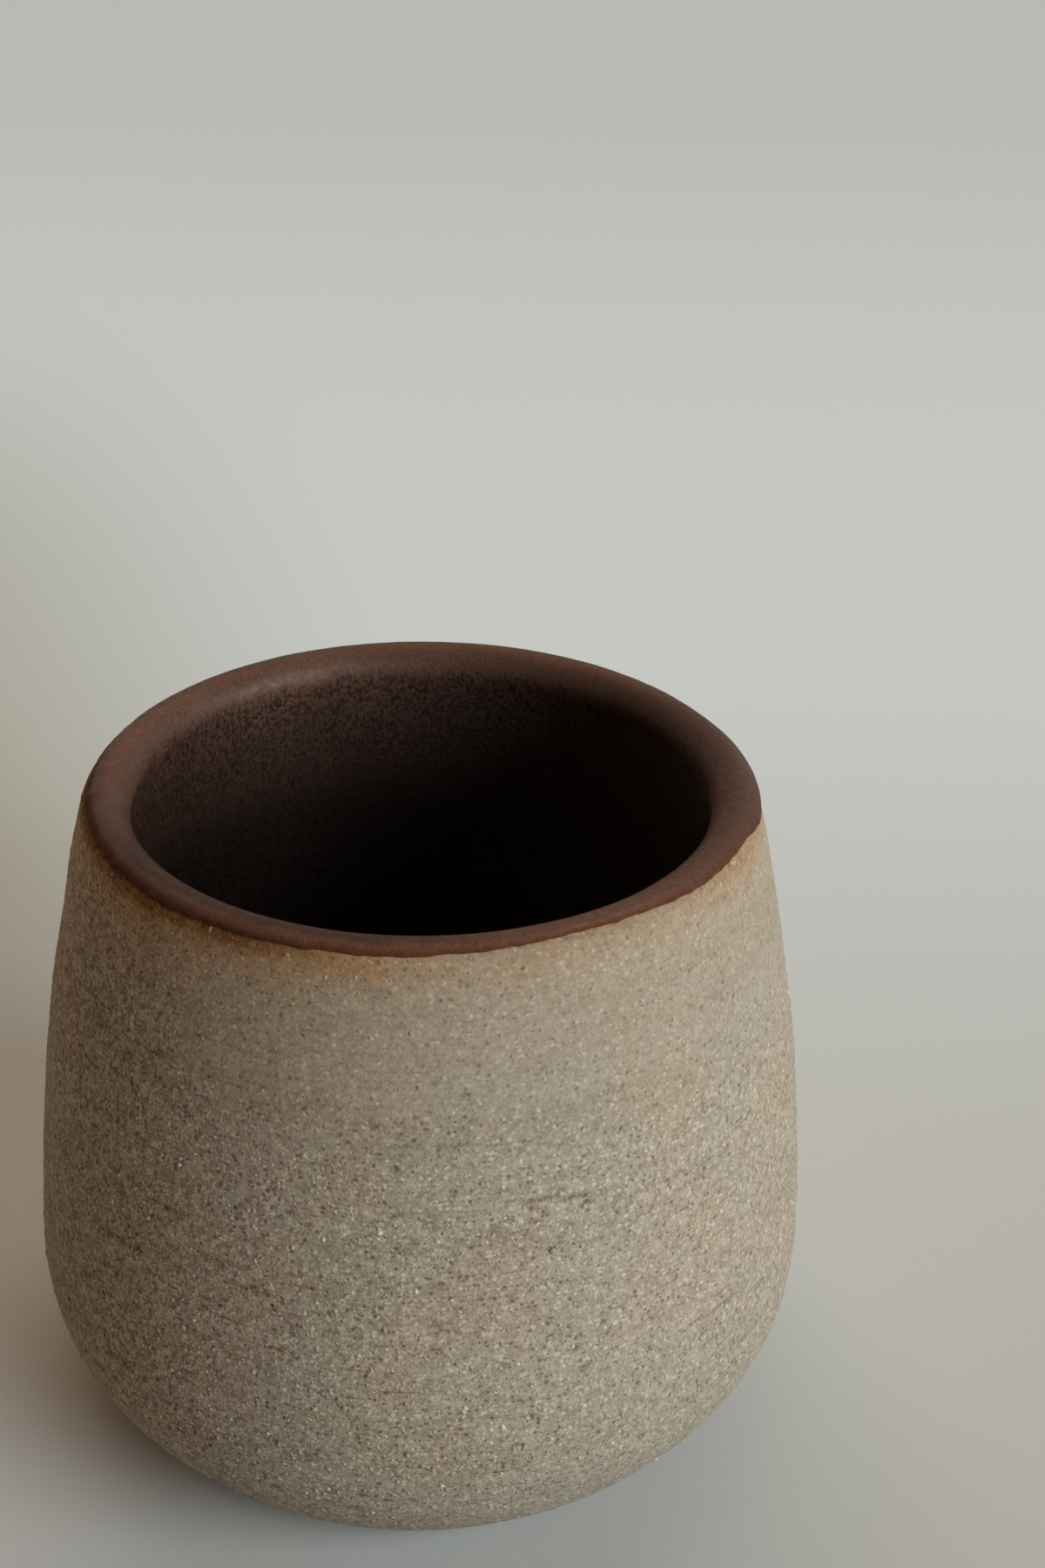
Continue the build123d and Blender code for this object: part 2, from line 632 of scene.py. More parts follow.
@dataclass(frozen=True)
class GroggedClay:
    """Bare stoneware: sandy matrix, pale grog, pits and drag lines with painted shade in them, a rust halo
    under the glaze, painted shade on the lower belly and painted relief shading on the grains.
    """

    roughness: float = 0.9
    gloss: float = 0.12

    # Matrix
    dark: Triple = (0.172, 0.120, 0.078)
    sand: Triple = (0.341, 0.265, 0.191)
    light: Triple = (0.530, 0.430, 0.324)
    grains: Specks = Specks(1750.0, 1.0, 0.60)
    grain_sway: float = 1.35
    grit: Cloud = Cloud(3000.0, 1.0, 0.6, 1.15)
    lumps: Cloud = Cloud(1300.0, 0.0, amount=0.5)
    clots: Cloud = Cloud(640.0, 1.0, amount=0.35)

    # Where it is coarse: less towards the top and the foot; raised on the shaded left and lowered on the lit
    # right as painted relief shading
    shade_slant: float = 3.0
    grit_full: float = 50.0 * MM
    grit_top: float = 66.0 * MM
    top_shade: Fade = Fade(-125 * MM, -80 * MM, 1.05, 0.55)
    by_foot: Fade = Fade(4 * MM, 16 * MM, 0.75)
    relief_shade_across: Fade = Fade(-34 * MM, 30 * MM, 1.28, 0.84)
    by_shade: Fade = Fade(-136 * MM, -90 * MM, 1.40)

    # Patches, bands and streaks
    patches: Cloud = Cloud(75.0)
    warm: Triple = (1.02, 0.985, 0.955)
    warm_patch: Fade = Fade(0.50, 0.68)
    grey: Triple = (0.985, 1.00, 1.005)
    grey_patch: Fade = Fade(0.34, 0.48, 1.0, 0.0)
    drawn: Triple = (0.78, 0.72, 0.65)
    bands: Cloud = Cloud(1.0, stretch=(16.0, 16.0, 260.0))
    banded: Fade = Fade(0.50, 0.70, 0.0, 0.30)
    streaks: Cloud = Cloud(1.0, stretch=(150.0, 150.0, 1700.0), turn=(0.02, 0.03, 0.0))
    streaked: Fade = Fade(0.58, 0.74)

    # Specks and pits
    fine: Specks = Specks(1900.0, 0.5, 0.46)
    fine_share: float = 0.85
    white: Triple = (0.630, 0.540, 0.430)
    pale: Specks = Specks(1200.0, 0.26, 0.36)
    pale_share: Fade = Fade(0.0, 1.0, 0.25, 0.9)
    # Painted shade in the pits and the sunk grooves
    pit_shade: Triple = (0.36, 0.30, 0.25)
    pits: Specks = Specks(1050.0, 0.30, 0.36)
    pit_patches: Cloud = Cloud(130.0)
    pitted: Fade = Fade(0.42, 0.62, 0.25)
    pits_at_top: float = 0.35
    shaded_hollows: Fade = Fade(0.15, 0.9, 0.0, 0.9)
    pit_share: float = 0.8

    # Painted shade on the lower belly, towards the foot, weaker on the left
    underside_shade: Triple = (0.84, 0.89, 0.90)
    underside_shade_rise: Fade = Fade(4 * MM, 30 * MM, 1.0, 0.0)
    underside_shade_side: Fade = Fade(-34 * MM, 10 * MM, 0.2)

    # Under the glaze
    left: Fade = Fade(-24 * MM, 12 * MM, 1.1, 0.38)
    far_left: Fade = Fade(-36 * MM, -25 * MM, 0.75)
    right: Fade = Fade(24 * MM, 34 * MM, 0.0, 0.12)
    halo_patches: Cloud = Cloud(60.0, 1.0, amount=0.6)
    halo_specks: Cloud = Cloud(900.0)
    speckled: Fade = Fade(0.34, 0.66, 1.2, 0.7)
    blush: Triple = (1.01, 0.92, 0.82)
    blushed: Fade = Fade(0.0, 18 * MM, 1.0, 0.0)
    rust: Triple = (0.96, 0.66, 0.37)
    halo_edge: Cloud = Cloud(240.0, amount=2.5 * MM)
    halo: Fade = Fade(-0.5 * MM, 5.0 * MM, 1.0, 0.0)
    stain: Triple = (0.42, 0.31, 0.22)
    seep_edge: Cloud = Cloud(500.0, amount=0.8 * MM)
    seep: Fade = Fade(-0.2 * MM, 2.0 * MM, 1.0, 0.0)
    seep_side: Fade = Fade(-18 * MM, -2 * MM, 1.0, 0.0)

    # Relief
    relief: float = 0.055 * MM
    grit_height: float = 0.9
    pale_height: float = 0.7
    streak_depth: float = 0.4

    def material(self, form: CupForm) -> bpy.types.Material:
        """Build the finish for the bare outside of the clay.

        Args:
            form: the cup that wears it.

        Returns:
            The material.
        """
        s = Shader("grogged_clay")
        shaded = s.plus(s.times(s.x, self.shade_slant), s.y)
        top = Fade(self.grit_full, self.grit_top, 1.0, s.fade(shaded, self.top_shade))
        foot = (s.level, self.by_foot)
        # Grain contrast: less near the top and the foot, with painted relief shading that strengthens it on
        # the shaded left and weakens it on the lit right
        coarse_and_relief_shade = s.mask((s.level, top), foot, (s.x, self.relief_shade_across), (shaded, self.by_shade))
        grains, shade = s.specks(self.grains)
        grains = s.times(grains, s.sway(shade, self.grain_sway))
        grit = s.noise(self.grit)
        sway = s.plus(grains, s.sway(grit, self.grit.amount), s.drift(self.lumps), s.drift(self.clots))
        tone = s.plus(s.times(sway, coarse_and_relief_shade), 0.5)
        colour = s.ramp(tone, [(0.0, self.dark), (0.5, self.sand), (1.0, self.light)])

        patches = s.noise(self.patches)
        colour = s.tint(s.fade(patches, self.warm_patch), colour, self.warm)
        colour = s.tint(s.fade(patches, self.grey_patch), colour, self.grey)
        colour = s.tint(s.fade(s.noise(self.bands), self.banded), colour, self.drawn)
        streaks = s.noise(self.streaks)
        colour = s.tint(s.times(s.fade(streaks, self.streaked), coarse_and_relief_shade), colour, self.drawn)

        fine = s.times(*s.specks(self.fine), coarse_and_relief_shade)
        colour = s.mix(s.times(fine, self.fine_share), colour, self.light)
        pale, shade = s.specks(self.pale)
        pale = s.times(pale, coarse_and_relief_shade, s.fade(shade, self.pale_share))
        colour = s.mix(pale, colour, self.white)
        upper = Fade(self.grit_full, self.grit_top, 1.0, self.pits_at_top)
        thick = s.mask((s.noise(self.pit_patches), self.pitted), (s.level, upper))
        pits = s.times(s.specks(self.pits)[0], thick, coarse_and_relief_shade)
        # Painted shade: the pits and the sunk drag grooves are darkened as though shade fell in them
        sunk = s.math("MAXIMUM", pits, s.fade(s.noted("shaded_hollows"), self.shaded_hollows))
        colour = s.tint(s.times(sunk, self.pit_share), colour, self.pit_shade)
        # Painted shade: the clay darkens towards the foot, less on the left
        colour = s.tint(s.mask((s.level, self.underside_shade_rise), (s.x, self.underside_shade_side)), colour, self.underside_shade)
        colour = self.stained(s, form, colour)
        s.set(Base_Color=colour, Roughness=self.roughness, Specular_IOR_Level=self.gloss)

        raised = s.times(s.math("SUBTRACT", s.plus(fine, grit), pits), self.grit_height)
        raised = s.plus(raised, s.times(pale, self.pale_height))
        s.bump(s.math("SUBTRACT", raised, s.times(streaks, self.streak_depth)), self.relief, coarse_and_relief_shade)
        return s.material

    def stained(self, s: Shader, form: CupForm, colour: Socket) -> Socket:
        """Lay on the rust that the glaze draws out below its edge.

        Args:
            s: shader under construction.
            form: the cup that wears it.
            colour: the plain clay.

        Returns:
            The stained clay.
        """
        below = s.math("SUBTRACT", form.glaze_edge_level, s.level)
        left = s.mask((s.x, self.left), (s.x, self.far_left))
        around = s.plus(left, s.fade(s.x, self.right), s.drift(self.halo_patches))
        around = s.times(around, s.fade(s.noise(self.halo_specks), self.speckled))
        colour = s.tint(s.times(s.fade(below, self.blushed), around), colour, self.blush)
        halo = s.fade(s.plus(below, s.drift(self.halo_edge)), self.halo)
        colour = s.tint(s.times(halo, around), colour, self.rust)
        seeping = s.plus(below, s.drift(self.seep_edge))
        return s.tint(s.mask((seeping, self.seep), (s.x, self.seep_side)), colour, self.stain)


@dataclass(frozen=True)
class GrogGrain:
    """Fired grit that stands proud of the clay, most of it a little paler."""

    roughness: float = 0.85
    gloss: float = 0.25
    tan: Triple = (0.272, 0.208, 0.148)
    cream: Triple = (0.440, 0.355, 0.265)
    cream_tone: float = 0.75
    white: Triple = (0.590, 0.500, 0.395)
    quiet: Fade = Fade(46 * MM, 64 * MM, 0.0, 0.55)
    slip: Cloud = Cloud(2400.0)
    slipped: Fade = Fade(0.45, 0.75, 0.0, 0.4)
    rust: Triple = (0.98, 0.74, 0.48)
    halo: Fade = Fade(0.5 * MM, 4.0 * MM, 0.7, 0.0)

    def material(self, form: CupForm) -> bpy.types.Material:
        """Build the finish of the grains, each with its own tone.

        Args:
            form: the cup that holds them.

        Returns:
            The material.
        """
        s = Shader("grog_grain")
        stops = [(0.0, self.tan), (self.cream_tone, self.cream), (1.0, self.white)]
        colour = s.ramp(s.noted("tone"), stops)
        colour = s.mix(s.fade(s.level, self.quiet), colour, self.tan)
        colour = s.mix(s.fade(s.noise(self.slip), self.slipped), colour, self.tan)
        below = s.math("SUBTRACT", form.glaze_edge_level, s.level)
        colour = s.tint(s.fade(below, self.halo), colour, self.rust)
        s.set(Base_Color=colour, Roughness=self.roughness, Specular_IOR_Level=self.gloss)
        return s.material


@dataclass(frozen=True)
class IronGlaze:
    """Satin iron glaze: red-brown over the lip, freckled below it, umber to black down the inside; painted
    shade on parts of the lip and on the left inside wall, and painted light on the right inside wall.
    """

    # Surface
    gloss: float = 0.26
    sheen: Triple = (1.0, 0.77, 0.65)
    tooth: Cloud = Cloud(2600.0, 3.0, 0.65)
    tooth_depth: float = 0.08 * MM
    tooth_strength: float = 0.9
    polish: Fade = Fade(0.25, 0.75, 0.27, 0.52)
    dry_edge: Fade = Fade(0.20, 0.60, 0.0, 0.40)
    dry_begins: Fade = Fade(2.5 * MM, 7 * MM)
    dry_ends: Fade = Fade(8 * MM, 18 * MM, 0.36, 0.06)
    dry_side: Fade = Fade(-34 * MM, -8 * MM, 0.2)
    dry_patches: Cloud = Cloud(1100.0)
    patchy: Fade = Fade(0.38, 0.62, 0.20, 0.0)

    # Over the lip, with painted shade on its front-left and right sides, on the inner face of its front and
    # on its outer shoulder at the back
    lip_stops: tuple[float, ...] = (0.34, 0.50, 0.60, 0.72)
    red: Triple = (0.155, 0.058, 0.030)
    crest: Triple = (0.148, 0.070, 0.042)
    brown: Triple = (0.100, 0.047, 0.030)
    lip_drift: Cloud = Cloud(260.0, 3.0, amount=0.12)
    crest_patches: Cloud = Cloud(70.0)
    crested: Fade = Fade(0.44, 0.64, 0.0, 0.7)
    brown_patches: Cloud = Cloud(1300.0, 3.0, 0.7)
    browned: Fade = Fade(0.44, 0.66, 0.0, 0.6)
    # Darkening tint: the glaze's fine mottle, and painted shade on the lip and the inside
    mottle_and_shade: Triple = (0.62, 0.58, 0.56)
    # Painted shade on the front-left and the right side of the lip
    side_shade_left: Fade = Fade(-38 * MM, -12 * MM, 0.9, 0.0)
    side_shade_front: Fade = Fade(-6 * MM, 10 * MM, 1.0, 0.0)
    side_shade_over: Fade = Fade(0.44, 0.58, 1.0, 0.5)
    side_shade_right: Fade = Fade(22 * MM, 36 * MM, 0.0, 0.8)
    # Painted shade on the inner face of the front of the lip
    inner_lip_shade: Triple = (0.36, 0.32, 0.30)
    inner_lip_shade_over: Fade = Fade(0.40, 0.52)
    inner_lip_shade_right: Fade = Fade(-6 * MM, 18 * MM, 1.0, 0.0)
    inner_lip_shade_left: Fade = Fade(-36 * MM, -28 * MM)
    inner_lip_shade_front: Fade = Fade(-10 * MM, 0.0, 1.0, 0.0)
    # Painted shade on the outer shoulder of the lip at the back
    back_shoulder_shade: Triple = (0.52, 0.74, 0.68)
    back_shoulder_shade_over: Fade = Fade(0.40, 0.60, 0.9, 0.0)
    back_shoulder_shade_back: Fade = Fade(0.0, 25 * MM)

    # Lower edge
    edge: Triple = (0.060, 0.017, 0.006)
    thin: Triple = (0.110, 0.028, 0.010)
    thin_side: Fade = Fade(-18 * MM, -3 * MM)
    edge_drift: Cloud = Cloud(420.0, amount=0.3)
    edge_line: Fade = Fade(0.46, 0.92, 0.0, 0.95)

    # Inside: umber to black with depth, painted lighter towards the right wall, with painted shade on the
    # left wall
    depth_drift: Cloud = Cloud(180.0, amount=5 * MM)
    well_begins: Fade = Fade(3 * MM, 11 * MM)
    well_sooner: Fade = Fade(4 * MM, 28 * MM, 0.0, 4 * MM)
    well_deeper: Fade = Fade(11 * MM, 25 * MM)
    # Painted light: lighter well colours towards the right inside wall
    painted_fill_side: Fade = Fade(-10 * MM, 24 * MM)
    umber: Triple = (0.066, 0.030, 0.019)
    black: Triple = (0.018, 0.0115, 0.0090)
    painted_fill_umber: Triple = (0.080, 0.058, 0.052)
    painted_fill_black: Triple = (0.068, 0.050, 0.043)
    # Painted shade on the left inside wall, below the lip
    left_wall_shade_begins: Fade = Fade(1.5 * MM, 5 * MM)
    left_wall_shade_side: Fade = Fade(-36 * MM, -18 * MM, 1.0, 0.0)
    toothed: Fade = Fade(0.38, 0.62, 0.8, 0.0)

    # Freckles
    freckle: Triple = (0.018, 0.0095, 0.0070)
    freckles: Cloud = Cloud(1.0, harsh=0.7, stretch=(2300.0, 2300.0, 1400.0))
    freckled: Fade = Fade(0.42, 0.60, 0.0, 0.9)
    freckles_begin: Fade = Fade(0.8 * MM, 4.6 * MM)
    freckles_end: Fade = Fade(9 * MM, 24 * MM, 1.0, 0.25)

    def material(self, name: str, form: CupForm) -> bpy.types.Material:
        """Build the finish; both glazes share it, so that they blend where they meet.

        Args:
            name: name of the material.
            form: the cup that wears it.

        Returns:
            The material.
        """
        s = Shader(name)
        depth = s.math("SUBTRACT", form.height, s.level)
        uneven = s.plus(depth, s.drift(self.depth_drift))
        deeper = s.fade(depth, self.well_deeper)
        near = s.mix(deeper, self.umber, self.black)
        # Painted light: the well is coloured lighter towards the right, where the inside lies in shade
        away = s.mix(deeper, self.painted_fill_umber, self.painted_fill_black)
        well = s.mix(s.fade(s.x, self.painted_fill_side), near, away)
        begun = s.fade(s.plus(uneven, s.fade(s.x, self.well_sooner)), self.well_begins)
        colour = s.mix(begun, self.lip(s, form), well)
        freckles = (s.noise(self.freckles), self.freckled)
        freckles = s.mask(freckles, (uneven, self.freckles_begin), (uneven, self.freckles_end))
        colour = s.mix(freckles, colour, self.freckle)
        # Painted shade on the left inside wall, below the lip
        colour = s.tint(s.mask((uneven, self.left_wall_shade_begins), (s.x, self.left_wall_shade_side)), colour, self.mottle_and_shade)
        tooth = s.noise(self.tooth)
        colour = s.tint(s.fade(tooth, self.toothed), colour, self.mottle_and_shade)

        deep = s.mask((uneven, self.dry_begins), (uneven, self.dry_ends), (s.x, self.dry_side))
        dry = s.math("MAXIMUM", s.fade(s.noted("edge"), self.dry_edge), deep)
        dry = s.plus(dry, s.fade(s.noise(self.dry_patches), self.patchy))
        s.set(Base_Color=colour, Roughness=s.plus(s.fade(tooth, self.polish), dry))
        s.set(Specular_IOR_Level=self.gloss, Specular_Tint=self.sheen)
        s.bump(tooth, self.tooth_depth, self.tooth_strength)
        return s.material

    def turn(self, s: Shader, form: CupForm) -> Socket:
        """Find the turn about the lip's centre.

        Args:
            s: shader under construction.
            form: the cup that wears it.

        Returns:
            The turn, from 0 outside to 1 inside.
        """
        across = s.math("SUBTRACT", s.radius(), form.lip_centre[0])
        up = s.math("SUBTRACT", s.level, form.lip_centre[1])
        return s.math("SUBTRACT", 0.5, s.math("DIVIDE", s.math("ARCTAN2", across, up), pi))

    def lip(self, s: Shader, form: CupForm) -> Socket:
        """Colour the lip, by the turn from its outer shoulder to its inner side, with painted shade on its
        sides, its inner front and its back shoulder.

        Args:
            s: shader under construction.
            form: the cup that wears it.

        Returns:
            The colour.
        """
        over = s.plus(self.turn(s, form), s.drift(self.lip_drift))
        colour = s.ramp(over, list(zip(self.lip_stops, (self.red, self.crest, self.red, self.brown))))
        colour = s.mix(s.fade(s.noise(self.crest_patches), self.crested), colour, self.crest)
        colour = s.mix(s.fade(s.noise(self.brown_patches), self.browned), colour, self.brown)
        # Painted shade on the front-left and the right side of the lip
        side_shade = s.mask((s.x, self.side_shade_left), (s.y, self.side_shade_front), (over, self.side_shade_over))
        colour = s.tint(s.plus(side_shade, s.fade(s.x, self.side_shade_right)), colour, self.mottle_and_shade)
        # Painted shade on the inner face of the front of the lip
        inner_lip_shade = s.mask((over, self.inner_lip_shade_over), (s.x, self.inner_lip_shade_right))
        inner_lip_shade = s.times(inner_lip_shade, s.mask((s.x, self.inner_lip_shade_left), (s.y, self.inner_lip_shade_front)))
        colour = s.tint(inner_lip_shade, colour, self.inner_lip_shade)
        # Painted shade on the outer shoulder of the lip at the back
        colour = s.tint(s.mask((over, self.back_shoulder_shade_over), (s.y, self.back_shoulder_shade_back)), colour, self.back_shoulder_shade)
        rolled = s.mix(s.fade(s.x, self.thin_side), self.edge, self.thin)
        line = s.fade(s.plus(s.noted("edge"), s.drift(self.edge_drift)), self.edge_line)
        return s.mix(line, colour, rolled)


@dataclass(frozen=True)
class PaleFloor:
    """Plain floor of pale, unglossy paper with a faint tooth; painted shade makes it dimmer near the viewer
    and far off, and a painted shadow darkens it at the left.
    """

    roughness: float = 0.9
    gloss: float = 0.1
    # Floor colour near the viewer, darker with painted shade
    near: Triple = (0.632, 0.608, 0.568)
    paper: Triple = (0.835, 0.870, 0.865)
    receding: Fade = Fade(-0.06, 0.22)
    painted_far_shade: Triple = (0.85, 0.85, 0.85)
    farther: Fade = Fade(0.25, 0.90)
    # Painted shadow across the floor at the back-left
    painted_shadow: Triple = (0.68, 0.62, 0.53)
    painted_shadow_begins: Fade = Fade(0.03, 0.12)
    painted_shadow_ends: Fade = Fade(0.16, 0.50, 1.0, 0.0)
    painted_shadow_slant: float = 0.25
    painted_shadow_side: Fade = Fade(-0.09, 0.05, 1.0, 0.0)
    tooth: Cloud = Cloud(900.0, 3.0)
    tooth_depth: float = 0.05 * MM
    toothed: Fade = Fade(0.0, 0.12, 0.5, 0.0)

    def material(self) -> bpy.types.Material:
        """Build the finish of the floor.

        Returns:
            The material.
        """
        s = Shader("pale_floor")
        # Painted shade: darker near the viewer and far off
        colour = s.mix(s.fade(s.y, self.receding), self.near, self.paper)
        colour = s.tint(s.fade(s.y, self.farther), colour, self.painted_far_shade)
        # Painted shadow across the floor at the back-left
        aside = s.plus(s.x, s.times(s.y, self.painted_shadow_slant))
        painted_shadow = s.mask((s.y, self.painted_shadow_begins), (s.y, self.painted_shadow_ends), (aside, self.painted_shadow_side))
        colour = s.tint(painted_shadow, colour, self.painted_shadow)
        s.set(Base_Color=colour, Roughness=self.roughness, Specular_IOR_Level=self.gloss)
        s.bump(s.noise(self.tooth), self.tooth_depth, s.fade(s.y, self.toothed))
        return s.material


@dataclass(frozen=True)
class Drag:
    """A groove that trimming drew round the clay, by azimuth in degrees and level in metres."""

    start: float
    end: float
    level: float
    climb: float = 0.0
    width: float = 0.5 * MM
    depth: float = 0.12 * MM


@dataclass
class ClayBody(TurnedPiece):
    """The thrown body, with its trimmed foot, pits and drag marks."""

    steps: int = 448
    skin_spacing: float = 0.6 * MM
    foot_spacing: float = 1.3 * MM
    hidden_spacing: float = 6.0 * MM
    fillet_steps: int = 3
    reliefs: tuple[Relief, ...] = (
        Relief((24 * MM, 24 * MM, 12 * MM), 0.40 * MM),
        Relief((14 * MM, 14 * MM, 1.6 * MM), 0.10 * MM),
        Relief((1.2 * MM, 1.2 * MM, 1.2 * MM), 0.07 * MM, 3),
    )
    edge_fade: float = 1.5 * MM
    standing_fade: float = 2.0 * MM
    recess_share: float = 0.5
    seed: int = 7
    marks_gap: float = 9.0 * MM
    shaded_hollow_depth: float = 0.24 * MM
    drags: int = 70
    drag_turn: Point = (3.0, 14.0)
    drag_lowest: float = 8.0 * MM
    drag_depth: Point = (0.06 * MM, 0.13 * MM)
    pits: int = 420
    pit_size: Point = (0.4 * MM, 0.8 * MM)
    pit_lowest: float = 3.0 * MM
    pit_depth: Point = (0.08 * MM, 0.24 * MM)
    pit_flatness: float = 0.8
    seen_drags: tuple[Drag, ...] = (
        Drag(-130.0, -119.0, 45.2 * MM, 0.5 * MM, 0.5 * MM, 0.20 * MM),
        Drag(-141.5, -127.0, 37.4 * MM, 1.0 * MM, 0.5 * MM, 0.20 * MM),
        Drag(-137.0, -133.0, 44.5 * MM, -0.2 * MM, 0.5 * MM, 0.16 * MM),
        Drag(-136.0, -132.0, 43.4 * MM, 0.0, 0.5 * MM, 0.16 * MM),
        Drag(-77.0, -59.0, 51.8 * MM, -2.0 * MM, 0.5 * MM, 0.18 * MM),
        Drag(-46.0, -33.0, 28.8 * MM, -0.6 * MM, 0.6 * MM, 0.16 * MM),
        Drag(-44.0, -36.0, 30.6 * MM, -0.4 * MM, 0.5 * MM, 0.14 * MM),
    )

    def build(self) -> None:
        """Turn the section, then roughen and mark the bare outside."""
        self.turn(self.section())
        self.roughen("bare", self.bareness(self.read("co")))
        self.mark()

    def section(self) -> list[Point]:
        """Draw the section of the clay.

        Returns:
            Points from the axis below to the axis inside.
        """
        form = self.form
        fillet = form.foot_recess_fillet
        recess = form.recess_radius
        ceiling = form.foot_recess_depth
        hollow = Arc((recess - fillet, ceiling - fillet), fillet, pi / 2, 0.0)
        edge = Arc((recess + fillet, fillet), fillet, pi, 1.5 * pi)
        skin = form.outside()
        lip = form.lip(0.0, skin[-1].end)
        return (
            level_run(0.0, recess - fillet, ceiling, self.foot_spacing)
            + hollow.points(fillet / self.fillet_steps)
            + edge.points(fillet / self.fillet_steps)[:-1]
            + level_run(recess + fillet, form.foot_radius, 0.0, self.foot_spacing)
            + chain(skin, self.skin_spacing)
            + lip.points(self.skin_spacing)[1:-1]
            + chain(form.cavity(0.0), self.hidden_spacing)[::-1]
            + [(0.0, form.cavity_floor_level)]
        )

    def bareness(self, places: np.ndarray) -> np.ndarray:
        """Tell the bare outside from what the glazes cover and from the standing ring.

        Args:
            places: rows of x, y and z.

        Returns:
            1 at each bare place, 0 at the others, and a share between.
        """
        form = self.form
        level = places[:, 2]
        radius = np.hypot(places[:, 0], places[:, 1])
        line = np.array(chain(form.cavity(-form.belly_wall / 2), MM))
        outer = radius > np.interp(level, line[:, 1], line[:, 0], left=0.0)
        edge_turn = form.edge_turn(np.arctan2(places[:, 1], places[:, 0]))
        edge_level = form.lip_centre[1] + form.lip_radius * np.sin(edge_turn)
        edge = np.clip((edge_level - level) / self.edge_fade, 0, 1)
        standing = np.clip(level / self.standing_fade, 0, 1)
        recessed = (radius < form.recess_radius) & (level < form.base_thickness)
        return np.where(recessed, self.recess_share, outer * edge * standing)

    def marks(self) -> list[Drag]:
        """Gather the grooves and pits.

        Returns:
            The grooves that are seen in front, then others and pits at random.
        """
        rng = np.random.default_rng(self.seed)
        top = self.form.glaze_edge_level - self.marks_gap
        marks = list(self.seen_drags)
        for _ in range(self.drags):
            start = rng.uniform(-180, 180)
            end = start + rng.uniform(*self.drag_turn)
            level = rng.uniform(self.drag_lowest, top)
            marks.append(Drag(start, end, level, depth=rng.uniform(*self.drag_depth)))
        for _ in range(self.pits):
            start = rng.uniform(-180, 180)
            size = rng.uniform(*self.pit_size)
            end = start + np.degrees(2 * size / self.form.belly_radius)
            level = rng.uniform(self.pit_lowest, top)
            depth = rng.uniform(*self.pit_depth)
            marks.append(Drag(start, end, level, width=size * self.pit_flatness, depth=depth))
        return marks

    def mark(self) -> None:
        """Sink pits where grit tore out, and grooves where the trimming tool dragged it."""
        places = self.read("co")
        angle = np.degrees(np.arctan2(places[:, 1], places[:, 0]))
        sunk = np.zeros(len(places))
        for mark in self.marks():
            reach = abs(mark.climb) / 2 + mark.width
            rows = np.flatnonzero(np.abs(places[:, 2] - mark.level - mark.climb / 2) < reach)
            share = ((angle[rows] - mark.start + 180) % 360 - 180) / (mark.end - mark.start)
            middle = mark.level + mark.climb * np.clip(share, 0, 1)
            off = (places[rows, 2] - middle) / mark.width
            along = np.sqrt(np.clip(4 * share * (1 - share), 0, 1))
            dip = np.clip(1 - off**2, 0, 1) * along * mark.depth
            sunk[rows] = np.maximum(sunk[rows], dip)
        sunk *= self.bareness(places)
        # How deep each hollow is, kept for the finish to paint shade in it
        self.note("shaded_hollows", np.clip(sunk / self.shaded_hollow_depth, 0, 1))
        self.move_to(places - self.read("normal") * sunk[:, None])


